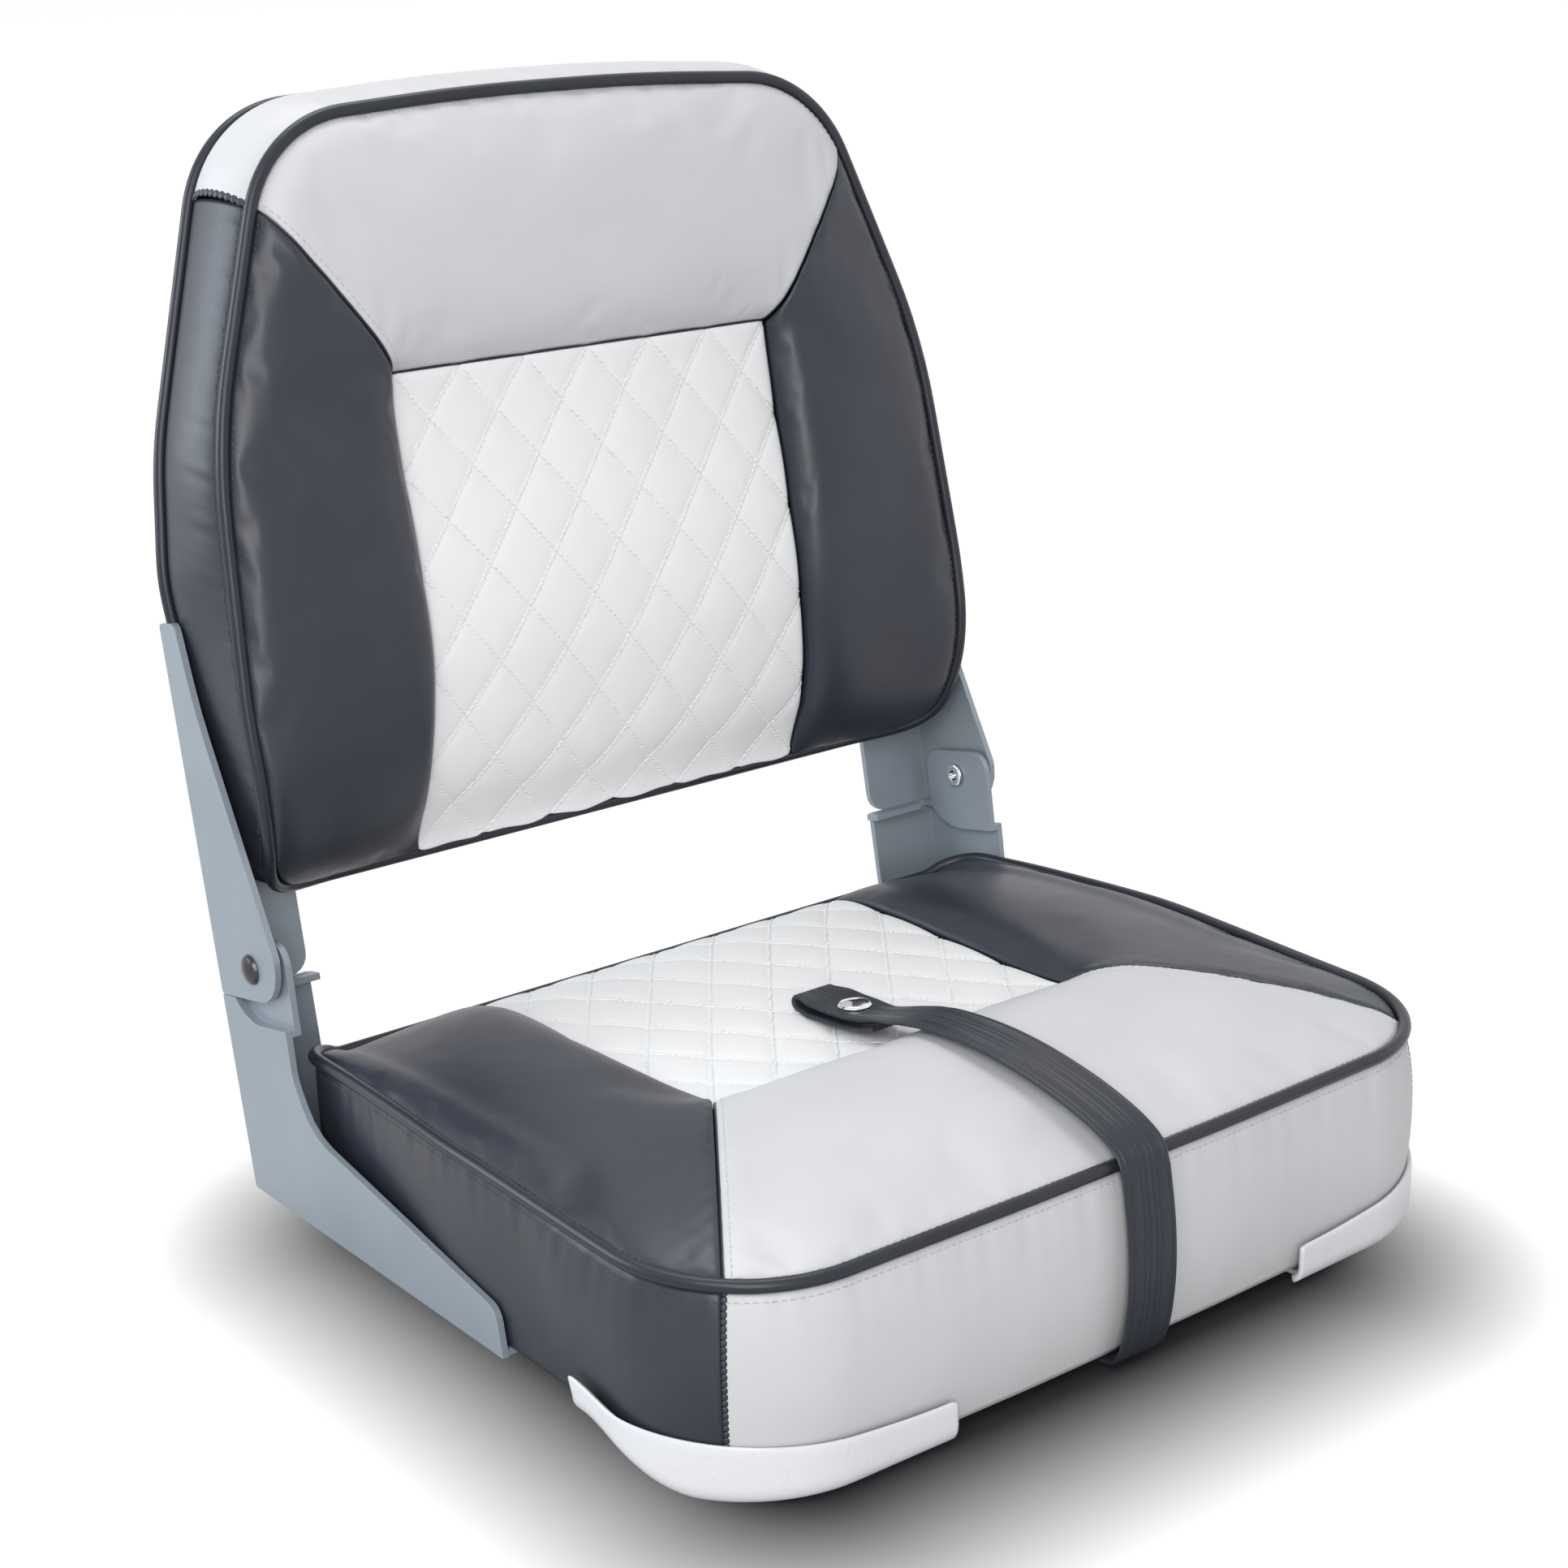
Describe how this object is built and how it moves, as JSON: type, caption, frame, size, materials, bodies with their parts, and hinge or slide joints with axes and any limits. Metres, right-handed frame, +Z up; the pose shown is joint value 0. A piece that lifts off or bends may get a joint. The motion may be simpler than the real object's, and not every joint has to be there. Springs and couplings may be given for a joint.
{
  "type": "folding boat seat",
  "caption": "Low-profile padded boat seat whose back folds forward on two steel brackets, with a snap-ended hold-down strap and a flat mounting pad underneath.",
  "frame": {"origin": "centre of the flat mounting pad under the seat pan, in the middle of the four tee nuts", "axes": "+Z up, the seat faces -Y, X across: -X is the left side and +X the right side as seen from the front"},
  "size_m": [0.417, 0.4365, 0.4852],
  "materials": {
    "charcoal_vinyl": "marine vinyl, soft sheen",
    "grey_vinyl": "marine vinyl, soft sheen",
    "white_vinyl": "marine vinyl, quilted, soft sheen",
    "piping": "vinyl welt",
    "strap_vinyl": "stitched vinyl strap",
    "coated_steel": "grey powder coat",
    "guard_plastic": "white, glossy",
    "pan_plastic": "moulded, matte",
    "foam": "open-cell foam",
    "zinc_steel": "zinc plated",
    "dark_steel": "black zinc",
    "chrome": "polished",
    "nylon": "natural nylon"
  },
  "bodies": {
    "seat": {"seat_pan": "pan_plastic", "seat_foam": "foam", "seat_center_panel": "white_vinyl", "seat_front_panel": "grey_vinyl", "seat_bolster_left": "charcoal_vinyl", "seat_bolster_right": "charcoal_vinyl", "seat_boxing_front": "grey_vinyl", "seat_boxing_left": "charcoal_vinyl", "seat_boxing_right": "charcoal_vinyl", "seat_boxing_rear": "charcoal_vinyl", "seat_piping": "piping", "corner_guard_left": "guard_plastic", "corner_guard_right": "guard_plastic", "lower_bracket_left": "coated_steel", "lower_bracket_right": "coated_steel", "pivot_rivet_left": "dark_steel", "pivot_rivet_right": "dark_steel", "pivot_washer_1": "nylon", "pivot_washer_2": "nylon", "strap_lower": "strap_vinyl", "strap_screw": "zinc_steel", "mounting_tee_nut_1": "zinc_steel", "corner_guard_screw_1": "zinc_steel", "mounting_tee_nut_2": "zinc_steel", "corner_guard_screw_2": "zinc_steel", "mounting_tee_nut_3": "zinc_steel", "corner_guard_screw_3": "zinc_steel", "mounting_tee_nut_4": "zinc_steel", "corner_guard_screw_4": "zinc_steel", "lower_bracket_screw_1": "zinc_steel", "lower_bracket_screw_2": "zinc_steel", "lower_bracket_screw_3": "zinc_steel", "lower_bracket_screw_4": "zinc_steel", "lower_bracket_screw_5": "zinc_steel", "lower_bracket_screw_6": "zinc_steel"},
    "back": {"back_board": "pan_plastic", "back_foam": "foam", "back_head_panel": "grey_vinyl", "back_bolster_left": "charcoal_vinyl", "back_bolster_right": "charcoal_vinyl", "back_center_panel": "white_vinyl", "back_boxing_top": "grey_vinyl", "back_boxing_left": "charcoal_vinyl", "back_boxing_right": "charcoal_vinyl", "back_rear_panel": "charcoal_vinyl", "back_front_piping": "piping", "back_rear_piping": "piping", "upper_bracket_left": "coated_steel", "upper_bracket_right": "coated_steel", "snap_stud": "chrome", "upper_bracket_screw_1": "zinc_steel", "upper_bracket_screw_2": "zinc_steel", "upper_bracket_screw_3": "zinc_steel", "upper_bracket_screw_4": "zinc_steel"},
    "strap_middle": {"strap_middle": "strap_vinyl"},
    "strap_tip": {"strap_tip": "strap_vinyl", "snap_cap": "chrome", "snap_socket": "chrome"}
  },
  "joints": [
    {"name": "back_fold", "type": "hinge", "parent": "seat", "child": "back", "pos_m": [0, 0.165, 0.124], "axis": [1, 0, 0], "range_deg": [0, 90]},
    {"name": "strap_swing", "type": "hinge", "parent": "seat", "child": "strap_middle", "pos_m": [0, -0.16923, 0.08689], "axis": [1, 0, 0], "range_deg": [0, 150]},
    {"name": "strap_curl", "type": "hinge", "parent": "strap_middle", "child": "strap_tip", "pos_m": [0, -0.0347, 0.11086], "axis": [1, 0, 0], "range_deg": [0, 90]}
  ],
  "couplings": [
    {"joint": "strap_curl", "follows": "strap_swing", "ratio": 0.6}
  ]
}
